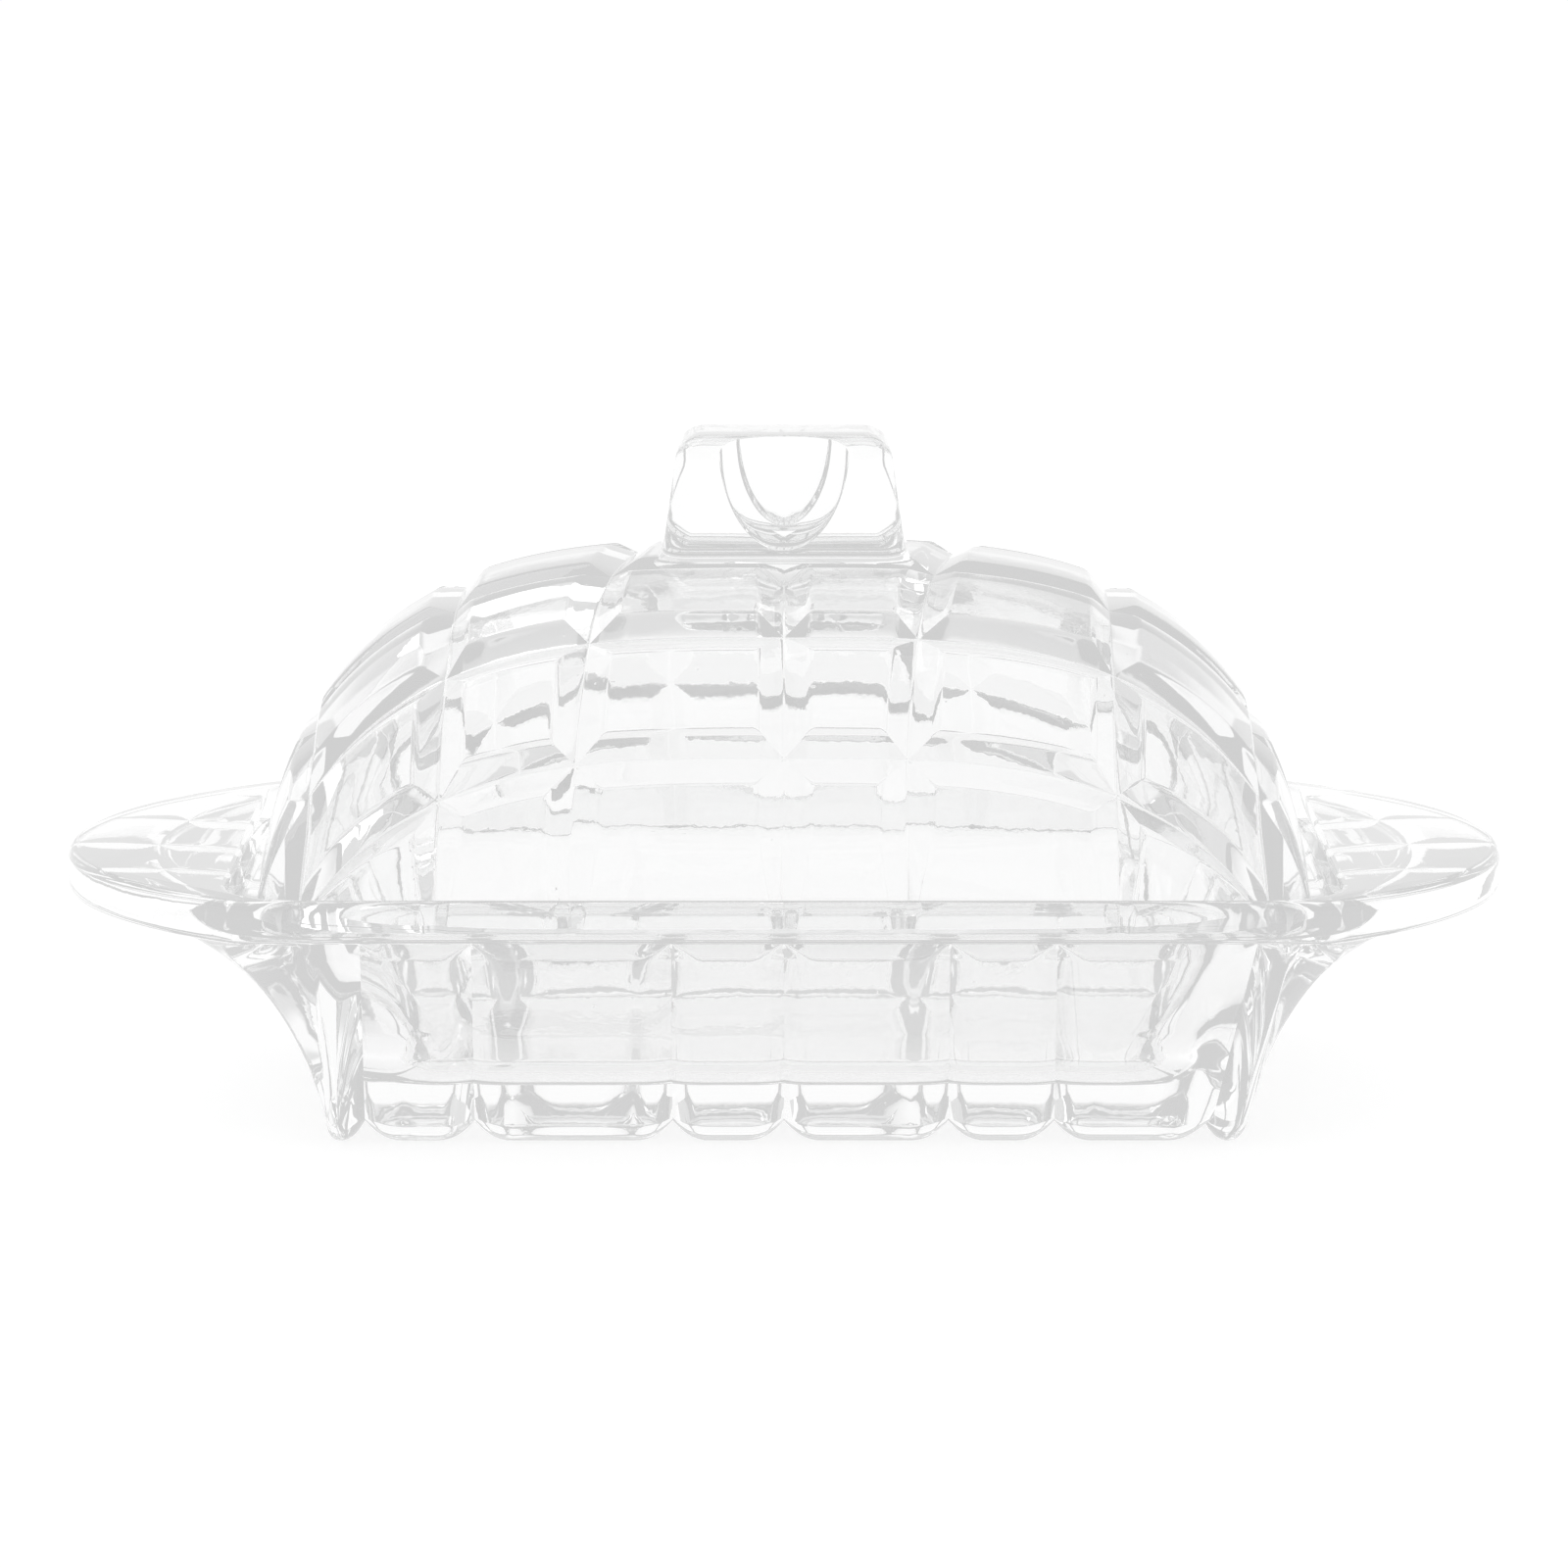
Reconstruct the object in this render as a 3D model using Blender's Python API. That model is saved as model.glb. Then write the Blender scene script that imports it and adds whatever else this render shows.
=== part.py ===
"""Pressed-glass butter dish: a tray with two ear handles, and a domed lid with a knob.

Metres, +Z up, +X along the dish, origin under the middle of the tray's foot. The glass is pressed in a
pattern of blocks with V grooves between them. Each pressed face is a grid whose lines follow the grooves.
"""

import math

import bmesh
import bpy
import numpy as np

# Lid
LID_LENGTH = 0.1444
LID_WIDTH = 0.0970
DOME_HEIGHT = 0.0460
LID_WALL = 0.0040
END_FULLNESS = 3.3          # power of the dome's curve along X, 2 would be a plain ellipse
SIDE_FULLNESS = 3.0         # the same along Y
DOME_TUCK = 0.0010          # the dome's widest line lies this far under its rim
LID_GROOVE_DEPTH = 0.0018
LID_GROOVE_WIDTH = 0.0070
RIM_FADE_HEIGHT = 0.0120    # over this height the lid's grooves run out towards its rim
RIM_FADE_SHARE = 0.45       # the share of their depth that is left at the rim

# Knob
KNOB_LENGTH = 0.0335
KNOB_TOP_LENGTH = 0.0300
KNOB_WIDTH = 0.0230
KNOB_TOP_WIDTH = 0.0210
KNOB_HEIGHT = 0.0163
KNOB_ROUNDING = 0.0035
SCOOP_LENGTH = 0.0180
SCOOP_DEPTH = 0.0030
SCOOP_HEIGHT = 0.0146
SCOOP_DROP = 0.0010         # the scoop's centre lies this far under the knob's top

# Tray
TRAY_HEIGHT = 0.0345
BAND_HEIGHT = 0.0059
BAND_PROUD = 0.0010         # the plain band stands this far out over the pressed wall
RIM_WIDTH = 0.0023
EAR_REACH = 0.0250
EAR_CURVE = 0.0700          # half-axis of the ear's elliptic edge along X
SHOULDER_SET_IN = 0.0025    # the ear's edge meets the long side this far in from the recess's end
SHOULDER_RADIUS = 0.0080
END_SLOPE = 0.0135          # the foot's end lies this far in from the recess's end
SIDE_SLOPE = 0.0070         # each long wall leans out by this much up to the band
FOOT_EDGE_RADIUS = 0.0037
FOOT_END_RADIUS = 0.0016
TRAY_WALL = 0.0050
FLOOR_THICKNESS = 0.0080
LEDGE_DROP = 0.0053         # the lid's ledge lies this far under the rim
SIDE_LEDGE = 0.0037
END_LEDGE = 0.0090
RECESS_RADIUS = 0.0120
FLOOR_RADIUS = 0.0050       # round foot of the cavity's wall
FOOT_GROOVE_DEPTH = 0.0029
WALL_GROOVE_DEPTH = 0.0020
LONG_GROOVE_DEPTH = 0.0014  # of the grooves along the foot, at its ends
EAR_GROOVE_DEPTH = 0.0008   # what is left of that at the ear's edge
TRAY_GROOVE_WIDTH = 0.0068
CORNER_LEAN = 0.0066        # one corner groove of each long wall leans out by this much up to the band

# Clearances between the lid and the tray
END_CLEARANCE = 0.0028
SIDE_CLEARANCE = 0.0012
SEAT_GAP = 0.0003

# Places of the groove valleys, as shares of the half length or half width that they divide. The lid's cross
# grooves are (front, back) pairs: the pattern's back is its front turned by half a turn.
LID_CROSS_GROOVES = ((-0.911, -0.911), (-0.645, -0.619), (-0.396, -0.222), (0.0, 0.0),
                     (0.222, 0.396), (0.619, 0.645), (0.911, 0.911))
LID_LONG_GROOVES = (-0.900, -0.655, -0.258, 0.258, 0.655, 0.900)
WALL_GROOVES = (-1.0, -0.738, -0.266, 0.0, 0.392, 0.645, 1.0)
FOOT_LONG_GROOVES = (-0.49, 0.0, 0.49)
EAR_CROSS_GROOVE = 0.80     # share of the way from the foot to the ear's edge
EAR_CROSS_GROOVE_HALF = 0.07
ARC_SHARE = 0.20            # share of a wall's lines that its rounded foot takes
EAR_LIFT = 0.25             # share of the ear's flare that is straight, the rest is a quarter ellipse

# The band's section, from the pressed wall up to the rim, as shares of how far it stands out and how high
BAND_SECTION = ((0.85, 0.06), (1.0, 0.30), (0.92, 0.72), (0.55, 0.94), (0.0, 1.0))

# Fineness of the mesh
DOME_STEP = 0.0065
INNER_STEP = 0.0100
TRAY_STEP = 0.0100
END_ARC_LINES = 2           # lines round the foot's edge at the ends, and at the sides
SIDE_ARC_LINES = 3
EAR_LINES = (0.36, 0.50, 0.62)      # lines up the ear's flare before its cross groove, and up a long wall
WALL_LINES = (0.45, 0.70, 0.90)
CORNER_STEPS = 8            # round each corner of the cavity
FLOOR_STEPS = 3             # round the foot of the cavity's wall
KNOB_SEGMENTS = 4
SCOOP_SEGMENTS = (24, 16)
CURVE_POINTS = 400
HALVINGS = 60
SAME_PLACE = 1e-6
SHARP_ANGLE = 25

# Glass
ROUGHNESS = 0.04
REFRACTION = 1.52
TRAY_TINT = (0.90, 0.92, 0.92)
LID_TINT = (0.94, 0.95, 0.95)

# What follows from the sizes above
RECESS_HALF = (LID_LENGTH / 2 + END_CLEARANCE, LID_WIDTH / 2 + SIDE_CLEARANCE)
EAR_TIP = RECESS_HALF[0] + EAR_REACH
RIM_HALF_WIDTH = RECESS_HALF[1] + RIM_WIDTH
SHOULDER_X = RECESS_HALF[0] - SHOULDER_SET_IN
BAND_FOOT = TRAY_HEIGHT - BAND_HEIGHT
LEDGE_Z = TRAY_HEIGHT - LEDGE_DROP
LID_SEAT = LEDGE_Z + SEAT_GAP
WALL_TOP = RIM_HALF_WIDTH - BAND_PROUD
FOOT_HALF = (RECESS_HALF[0] - END_SLOPE, WALL_TOP - SIDE_SLOPE)
WALL_LEAN = math.atan2(SIDE_SLOPE, BAND_FOOT)
FLAT_HALF = (FOOT_HALF[0] - FOOT_END_RADIUS,
             FOOT_HALF[1] - FOOT_EDGE_RADIUS * math.tan((math.pi / 2 - WALL_LEAN) / 2))
CORNER_GROOVE = FLAT_HALF[0] - TRAY_GROOVE_WIDTH / 2


def mix(a, b, share):
    return a + (b - a) * share


def glass(name, tint):
    material = bpy.data.materials.new(name)
    material.use_nodes = True
    shader = material.node_tree.nodes["Principled BSDF"]
    shader.inputs["Base Color"].default_value = (*tint, 1.0)
    shader.inputs["Roughness"].default_value = ROUGHNESS
    shader.inputs["Metallic"].default_value = 0.0
    shader.inputs["IOR"].default_value = REFRACTION
    return material


def mesh_object(name, bm, material=None):
    """Turns the faces outwards, shades the mesh smooth but for its creases, and makes it an object."""
    bmesh.ops.recalc_face_normals(bm, faces=bm.faces)
    mesh = bpy.data.meshes.new(name)
    bm.to_mesh(mesh)
    bm.free()
    mesh.shade_smooth()
    mesh.set_sharp_from_angle(angle=math.radians(SHARP_ANGLE))
    thing = bpy.data.objects.new(name, mesh)
    bpy.context.scene.collection.objects.link(thing)
    if material:
        mesh.materials.append(material)
    return thing


def guide(thing):
    thing.hide_render = True
    thing.display_type = "WIRE"
    return thing


def boolean(thing, other, operation):
    modifier = thing.modifiers.new(operation.lower() + "_" + other.name, "BOOLEAN")
    modifier.operation = operation
    modifier.solver = "EXACT"
    modifier.object = other


# Pressed faces


def lines_across(valleys, half_width, start, stop, step):
    """Lines across a face as (place, in a valley): each groove's edges and valley, and more between them."""
    marks = [(np.array(start), False)]
    for valley in valleys:
        valley = np.array(valley)
        marks += [(valley - half_width, False), (valley, True), (valley + half_width, False)]
    marks.append((np.array(stop), False))
    lines = []
    for (here, in_valley), (there, _) in zip(marks, marks[1:]):
        gap = np.abs(there - here).max()
        if gap < SAME_PLACE:
            continue
        count = math.ceil(gap / step)
        lines += [(mix(here, there, k / count), in_valley and k == 0) for k in range(count)]
    lines.append(marks[-1])
    return lines


def pressed_grid(columns, rows, place, depth):
    """A grid of faces, its vertices sunk along their normals and its squares split along their creases."""
    bm = bmesh.new()
    grid = [[bm.verts.new(place(column, row)) for row in rows] for column in columns]
    squares = []
    for i in range(len(columns) - 1):
        for j in range(len(rows) - 1):
            corners = (grid[i][j], grid[i + 1][j], grid[i + 1][j + 1], grid[i][j + 1])
            squares.append((bm.faces.new(corners), corners))
    bm.normal_update()
    sunk = {grid[i][j]: depth(columns[i], rows[j], grid[i][j].co)
            for i in range(len(columns)) for j in range(len(rows))}
    for vertex, amount in sunk.items():
        vertex.co -= vertex.normal * amount
    for face, (a, b, c, d) in squares:
        ends = (a, c) if sunk[a] + sunk[c] <= sunk[b] + sunk[d] else (b, d)
        bmesh.utils.face_split(face, *ends)
    return bm, grid


def cut_level(bm, height):
    """Cuts the open shell off at a height and closes it there with one flat face."""
    geometry = bm.verts[:] + bm.edges[:] + bm.faces[:]
    bmesh.ops.bisect_plane(bm, geom=geometry, plane_co=(0, 0, height), plane_no=(0, 0, 1), clear_inner=True)
    rim = [edge for edge in bm.edges if edge.is_boundary]
    bmesh.ops.contextual_create(bm, geom=rim)


# Lid


def dome_share(x, half, power):
    return math.sqrt(max(0.0, 1 - (abs(x) / half) ** power))


class DomeCurve:
    """The dome's curve over one axis, from crown to widest line, read by the way along the glass."""

    def __init__(self, half, power, height):
        turn = np.linspace(0, math.pi / 2, CURVE_POINTS)
        self.out = half * np.sin(turn) ** (2 / power)
        steps = np.hypot(np.diff(self.out), np.diff(height * np.cos(turn)))
        self.way = np.concatenate([[0], np.cumsum(steps)])

    def way_at(self, out):
        return np.sign(out) * np.interp(np.abs(out), self.out, self.way)

    def out_at(self, way):
        return np.sign(way) * np.interp(np.abs(way), self.way, self.out)


def dome(half_length, half_width, height, seat, cross_grooves, long_grooves, step):
    """One face of the dome: its height is one curve along X plus one along Y, so it has square shoulders."""
    rise = height + DOME_TUCK
    along = DomeCurve(half_length, END_FULLNESS, rise)
    across = DomeCurve(half_width, SIDE_FULLNESS, rise)
    half_groove = LID_GROOVE_WIDTH / 2
    cross = [along.way_at(half_length * np.array(pair)) for pair in cross_grooves]
    edges = np.full(2, along.way[-1])
    columns = lines_across(cross, half_groove, -edges, edges, step)
    rows = lines_across([across.way_at(half_width * share) for share in long_grooves],
                        half_groove, -across.way[-1], across.way[-1], step)

    def place(column, row):
        y = float(across.out_at(row[0]))
        front, back = along.out_at(column[0])
        x = float(mix(front, back, (y / half_width + 1) / 2))
        lift = dome_share(x, half_length, END_FULLNESS) + dome_share(y, half_width, SIDE_FULLNESS) - 1
        return x, y, seat - DOME_TUCK + rise * lift

    def depth(column, row, where):
        if not (column[1] or row[1]):
            return 0.0
        share = min(1.0, max(0.0, (where.z - seat) / RIM_FADE_HEIGHT))
        return LID_GROOVE_DEPTH * mix(RIM_FADE_SHARE, 1.0, share)

    bm, _ = pressed_grid(columns, rows, place, depth)
    cut_level(bm, seat)
    return bm


def knob_block(crown):
    """A square block that narrows to the top, with round corners and top edges."""
    bm = bmesh.new()
    bmesh.ops.create_cube(bm, size=1.0)
    for vertex in bm.verts:
        top = vertex.co.z > 0
        vertex.co.x *= KNOB_TOP_LENGTH if top else KNOB_LENGTH
        vertex.co.y *= KNOB_TOP_WIDTH if top else KNOB_WIDTH
        vertex.co.z = crown + KNOB_HEIGHT if top else crown - LID_WALL
    round_edges = [e for e in bm.edges if max(v.co.z for v in e.verts) > crown]
    bmesh.ops.bevel(bm, geom=round_edges, offset=KNOB_ROUNDING, segments=KNOB_SEGMENTS, profile=0.5,
                    affect="EDGES")
    return bm


def thumb_scoop(name, side, crown):
    """Half of an ellipsoid, which is hollowed out of the knob's long side under a thumb."""
    bm = bmesh.new()
    around, up = SCOOP_SEGMENTS
    bmesh.ops.create_uvsphere(bm, u_segments=around, v_segments=up, radius=1.0)
    bmesh.ops.scale(bm, verts=bm.verts, vec=(SCOOP_LENGTH / 2, SCOOP_DEPTH, SCOOP_HEIGHT))
    middle = (0, side * KNOB_TOP_WIDTH / 2, crown + KNOB_HEIGHT - SCOOP_DROP)
    bmesh.ops.translate(bm, verts=bm.verts, vec=middle)
    return guide(mesh_object(name, bm))


def make_lid(material):
    half_length, half_width = LID_LENGTH / 2, LID_WIDTH / 2
    crown = LID_SEAT + DOME_HEIGHT
    outer = dome(half_length, half_width, DOME_HEIGHT, LID_SEAT,
                 LID_CROSS_GROOVES, LID_LONG_GROOVES, DOME_STEP)
    lid = mesh_object("lid", outer, material)
    hollow_seat = LID_SEAT - LID_WALL
    inner = dome(half_length - LID_WALL, half_width - LID_WALL, crown - LID_WALL - hollow_seat, hollow_seat,
                 (), (), INNER_STEP)
    boolean(lid, guide(mesh_object("lid_knob", knob_block(crown))), "UNION")
    boolean(lid, guide(mesh_object("lid_hollow", inner)), "DIFFERENCE")
    boolean(lid, thumb_scoop("front_scoop", -1, crown), "DIFFERENCE")
    boolean(lid, thumb_scoop("back_scoop", 1, crown), "DIFFERENCE")
    return lid


# Tray


class EarEdge:
    """The tray's plan outline, set in from the band: straight sides, round shoulders and elliptic ears."""

    def __init__(self, set_in):
        self.centre = EAR_TIP - EAR_CURVE
        self.half_x = EAR_CURVE - set_in
        shoulder = (SHOULDER_X - self.centre) / EAR_CURVE
        self.half_y = RIM_HALF_WIDTH / math.sqrt(1 - shoulder**2) - set_in
        self.side = RIM_HALF_WIDTH - set_in
        self.radius = SHOULDER_RADIUS - set_in
        low, high = 0.0, math.pi / 2
        for _ in range(HALVINGS):
            turn = (low + high) / 2
            if self.arc_centre(turn)[1] < self.side - self.radius:
                low = turn
            else:
                high = turn
        self.arc_x, self.arc_y = self.arc_centre(turn)
        edge_x, edge_y = self.ellipse(turn)
        self.arc_turn = math.atan2(edge_y - self.arc_y, edge_x - self.arc_x)

    def ellipse(self, turn):
        return self.centre + self.half_x * math.cos(turn), self.half_y * math.sin(turn)

    def arc_centre(self, turn):
        """Centre of a circle that touches the ellipse from inside at this turn."""
        x, y = self.ellipse(turn)
        out = np.array((math.cos(turn) / self.half_x, math.sin(turn) / self.half_y))
        out /= np.linalg.norm(out)
        return x - self.radius * out[0], y - self.radius * out[1]

    def reach(self, y):
        """How far out the ear's edge lies at this y."""
        return self.centre + self.half_x * math.sqrt(1 - (y / self.half_y) ** 2)

    def on_arc(self, turn):
        return self.arc_x + self.radius * math.cos(turn), self.arc_y + self.radius * math.sin(turn)

    def from_side(self, start, share):
        """From x = start on the straight side to the middle of the shoulder."""
        straight = self.arc_x - start
        middle = (math.pi / 2 + self.arc_turn) / 2
        arc = self.radius * (math.pi / 2 - middle)
        way = share * (straight + arc)
        if way <= straight:
            return start + way, self.side
        return self.on_arc(math.pi / 2 - (way - straight) / self.radius)

    def from_ear(self, start, share):
        """From y = start on the ear's edge to the middle of the shoulder."""
        middle = (math.pi / 2 + self.arc_turn) / 2
        end_y = self.on_arc(self.arc_turn)[1]
        arc = self.radius * (middle - self.arc_turn)
        way = share * (end_y - start + arc)
        if way <= end_y - start:
            y = start + way
            return self.reach(y), y
        return self.on_arc(self.arc_turn + (way - (end_y - start)) / self.radius)


def side_wall(rise):
    """(y, z) up a long wall: a rounded foot edge, then a straight wall that leans out."""
    end_turn = math.pi / 2 - WALL_LEAN
    turn = end_turn * min(1.0, rise / ARC_SHARE)
    y = FLAT_HALF[1] + FOOT_EDGE_RADIUS * math.sin(turn)
    z = FOOT_EDGE_RADIUS * (1 - math.cos(turn))
    share = max(0.0, (rise - ARC_SHARE) / (1 - ARC_SHARE))
    return mix(y, WALL_TOP, share), mix(z, BAND_FOOT, share)


def end_wall(rise, reach):
    """(x, z) out along the underside of an ear: a small foot edge, then a flare that ends level."""
    turn = math.pi / 2 * min(1.0, rise / ARC_SHARE)
    if turn < math.pi / 2:
        return FLAT_HALF[0] + FOOT_END_RADIUS * math.sin(turn), FOOT_END_RADIUS * (1 - math.cos(turn))
    turn = math.pi / 2 * (rise - ARC_SHARE) / (1 - ARC_SHARE)
    out = EAR_LIFT * math.sin(turn) + (1 - EAR_LIFT) * (1 - math.cos(turn))
    return mix(FOOT_HALF[0], reach, out), mix(FOOT_END_RADIUS, BAND_FOOT, math.sin(turn))


class Line:
    """A line of the tray's pressed underside. It crosses the flat foot, or lies up a wall on one side."""

    def __init__(self, places, side=0, rise=0.0, valley=False):
        self.places, self.side, self.rise, self.valley = places, side, rise, valley


def tray_columns():
    """Lines from front to back, each with its x at the front rim, front foot, back foot and back rim."""
    fronts = [(share * CORNER_GROOVE + (CORNER_LEAN if share == 1 else 0.0), share * CORNER_GROOVE)
              for share in WALL_GROOVES]
    backs = [(-foot, -rim) for rim, foot in reversed(fronts)]
    valleys = [front + back for front, back in zip(fronts, backs)]
    half_groove = TRAY_GROOVE_WIDTH / 2
    start = np.array(valleys[0]) - half_groove
    stop = np.array(valleys[-1]) + half_groove
    middle = [Line(places, valley=valley)
              for places, valley in lines_across(valleys, half_groove, start, stop, TRAY_STEP)]
    return walls(middle, END_ARC_LINES, EAR_LINES, EAR_CROSS_GROOVE)


def tray_rows():
    """Lines along the tray, each with its y on the foot."""
    places = [share * FLAT_HALF[1] for share in FOOT_LONG_GROOVES]
    middle = [Line(place, valley=valley) for place, valley in
              lines_across(places, TRAY_GROOVE_WIDTH / 2, -FLAT_HALF[1], FLAT_HALF[1], TRAY_STEP)]
    return walls(middle, SIDE_ARC_LINES, WALL_LINES, None)


def walls(middle, arc_lines, rises, groove):
    """Adds the lines that lie up the walls on both sides, with one groove among them where there is one."""
    marks = [(ARC_SHARE * (k + 1) / arc_lines, False) for k in range(arc_lines)]
    marks += [(rise, False) for rise in rises]
    if groove:
        half = EAR_CROSS_GROOVE_HALF
        marks += [(groove - half, False), (groove, True), (groove + half, False)]
    marks.append((1.0, False))
    before = [Line(None, -1, rise, valley) for rise, valley in reversed(marks)]
    after = [Line(None, 1, rise, valley) for rise, valley in marks]
    return before + middle + after


def tray_underside():
    edge = EarEdge(BAND_PROUD)
    columns, rows = tray_columns(), tray_rows()

    def lean_of(column_side, row_side):
        return CORNER_LEAN if column_side * row_side < 0 else 0.0

    def corner(column, row):
        """Smooth patch between the ends of the ear's flare, of the long wall and of the rim."""
        a, b = column.rise, row.rise
        flat_x, flat_y = FLAT_HALF
        rim_x = flat_x + lean_of(column.side, row.side)
        reach = edge.reach(flat_y)
        flare_x, flare_z = end_wall(a, reach)
        wall_y, wall_z = side_wall(b)
        flare = np.array((flare_x, flat_y, flare_z))
        wall = np.array((mix(flat_x, rim_x, b), wall_y, wall_z))
        side_rim = np.array((*edge.from_side(rim_x, a), BAND_FOOT))
        ear_rim = np.array((*edge.from_ear(flat_y, b), BAND_FOOT))
        foot = np.array((flat_x, flat_y, 0.0))
        ear_start = np.array((reach, flat_y, BAND_FOOT))
        side_start = np.array((rim_x, WALL_TOP, BAND_FOOT))
        shoulder = np.array((*edge.from_side(rim_x, 1.0), BAND_FOOT))
        point = mix(flare, side_rim, b) + mix(wall, ear_rim, a)
        point -= mix(mix(foot, ear_start, a), mix(side_start, shoulder, a), b)
        return column.side * point[0], row.side * point[1], point[2]

    def place(column, row):
        if column.side and row.side:
            return corner(column, row)
        if column.side:
            x, z = end_wall(column.rise, edge.reach(row.places))
            return column.side * x, float(row.places), z
        front_rim, front_foot, back_foot, back_rim = column.places
        if row.side:
            foot, rim = (front_foot, front_rim) if row.side < 0 else (back_foot, back_rim)
            y, z = side_wall(row.rise)
            return float(mix(foot, rim, row.rise)), row.side * y, z
        y = float(row.places)
        return float(mix(front_foot, back_foot, (y / FLAT_HALF[1] + 1) / 2)), y, 0.0

    def depth(column, row, where):
        at_rim = column.rise == 1 or row.rise == 1
        if at_rim or not (column.valley or row.valley):
            return 0.0
        if column.valley and not column.side:
            return mix(FOOT_GROOVE_DEPTH, WALL_GROOVE_DEPTH, min(1.0, row.rise / ARC_SHARE))
        return mix(LONG_GROOVE_DEPTH, EAR_GROOVE_DEPTH, column.rise)

    return pressed_grid(columns, rows[::-1], place, depth)


def rim_ring(grid):
    """The vertices round the grid's edge, in order."""
    back, front = [column[0] for column in grid], [column[-1] for column in grid]
    return front + grid[-1][-2:0:-1] + back[::-1] + grid[0][1:-1]


def raise_ring(bm, ring, height, out):
    """A new ring of vertices at this height, each moved outwards from the ring under it."""
    outward = []
    for before, here, after in zip(ring[-1:] + ring[:-1], ring, ring[1:] + ring[:1]):
        along = (after.co - before.co).to_2d().normalized()
        outward.append((here.co.x + along.y * out, here.co.y - along.x * out, height))
    return [bm.verts.new(place) for place in outward]


def tray_block():
    """The tray before it is hollowed: the pressed underside, the plain band and a level top."""
    bm, grid = tray_underside()
    ring = rim_ring(grid)
    last = ring
    for out, height in BAND_SECTION:
        new = raise_ring(bm, ring, BAND_FOOT + BAND_HEIGHT * height, BAND_PROUD * out)
        for k in range(len(ring)):
            bm.faces.new((last[k - 1], last[k], new[k], new[k - 1]))
        last = new
    bm.faces.new(last)
    return bm


def rounded_outline(half_x, half_y, radius):
    points = []
    for corner in range(4):
        sign_x, sign_y = ((1, 1), (-1, 1), (-1, -1), (1, -1))[corner]
        for step in range(CORNER_STEPS + 1):
            turn = math.pi / 2 * (corner + step / CORNER_STEPS)
            points.append((sign_x * (half_x - radius) + radius * math.cos(turn),
                           sign_y * (half_y - radius) + radius * math.sin(turn)))
    return points


def tray_hollow():
    """The cavity, the ledge that the lid stands on and the recess round the lid, as one solid to cut away."""
    mouth = (RECESS_HALF[0] - END_LEDGE, RECESS_HALF[1] - SIDE_LEDGE)
    floor = (FOOT_HALF[0] - TRAY_WALL, FOOT_HALF[1] - TRAY_WALL)
    levels = []
    for step in range(FLOOR_STEPS + 1):
        turn = math.pi / 2 * step / FLOOR_STEPS
        set_in = FLOOR_RADIUS * (1 - math.sin(turn))
        levels.append((floor[0] - set_in, floor[1] - set_in, RECESS_RADIUS - set_in,
                       FLOOR_THICKNESS + FLOOR_RADIUS * (1 - math.cos(turn))))
    levels += [(*mouth, RECESS_RADIUS, LEDGE_Z), (*RECESS_HALF, RECESS_RADIUS, LEDGE_Z),
               (*RECESS_HALF, RECESS_RADIUS, TRAY_HEIGHT + LEDGE_DROP)]
    bm = bmesh.new()
    rings = [[bm.verts.new((x, y, z)) for x, y in rounded_outline(half_x, half_y, radius)]
             for half_x, half_y, radius, z in levels]
    for lower, upper in zip(rings, rings[1:]):
        for k in range(len(lower)):
            bm.faces.new((lower[k - 1], lower[k], upper[k], upper[k - 1]))
    bm.faces.new(rings[0])
    bm.faces.new(rings[-1])
    return guide(mesh_object("tray_hollow", bm))


def make_tray(material):
    tray = mesh_object("tray", tray_block(), material)
    boolean(tray, tray_hollow(), "DIFFERENCE")
    return tray


for old in list(bpy.data.objects):
    bpy.data.objects.remove(old, do_unlink=True)
make_tray(glass("tray_glass", TRAY_TINT))
make_lid(glass("lid_glass", LID_TINT))
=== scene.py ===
"""A pressed-glass butter dish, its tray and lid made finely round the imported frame, in metres."""

import math

import bmesh
import bpy
import numpy as np
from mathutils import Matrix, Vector


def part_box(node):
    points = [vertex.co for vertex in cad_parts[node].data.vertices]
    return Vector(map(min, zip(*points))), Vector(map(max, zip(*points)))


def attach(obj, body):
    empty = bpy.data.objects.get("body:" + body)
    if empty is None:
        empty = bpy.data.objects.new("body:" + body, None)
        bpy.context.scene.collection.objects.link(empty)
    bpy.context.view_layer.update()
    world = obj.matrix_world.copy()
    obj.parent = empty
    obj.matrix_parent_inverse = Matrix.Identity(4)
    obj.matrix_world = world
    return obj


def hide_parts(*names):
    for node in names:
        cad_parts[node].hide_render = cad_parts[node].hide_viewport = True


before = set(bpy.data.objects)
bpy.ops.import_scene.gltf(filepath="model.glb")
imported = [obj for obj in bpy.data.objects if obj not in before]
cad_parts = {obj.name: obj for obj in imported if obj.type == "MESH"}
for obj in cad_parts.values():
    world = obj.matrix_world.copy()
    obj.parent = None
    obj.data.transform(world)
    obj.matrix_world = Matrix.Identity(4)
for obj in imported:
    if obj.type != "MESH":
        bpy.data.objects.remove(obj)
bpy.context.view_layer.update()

# Setting: a white sweep, a soft sky that is bright at the horizon and overhead, and one large soft lamp.
# The band of grey between them is what draws the edges of the glass.
camera_place, camera_aim = Vector((0, -0.950, 0.196)), Vector((0, 0, 0.042))
long_lens, nearest = 158, 0.02
bpy.ops.object.camera_add(location=camera_place)
camera = bpy.context.object
camera.rotation_euler = (camera_aim - camera_place).to_track_quat("-Z", "Y").to_euler()
camera.data.lens = long_lens
camera.data.clip_start = nearest
bpy.context.scene.camera = camera
bpy.context.scene.view_settings.view_transform = "Standard"

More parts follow.
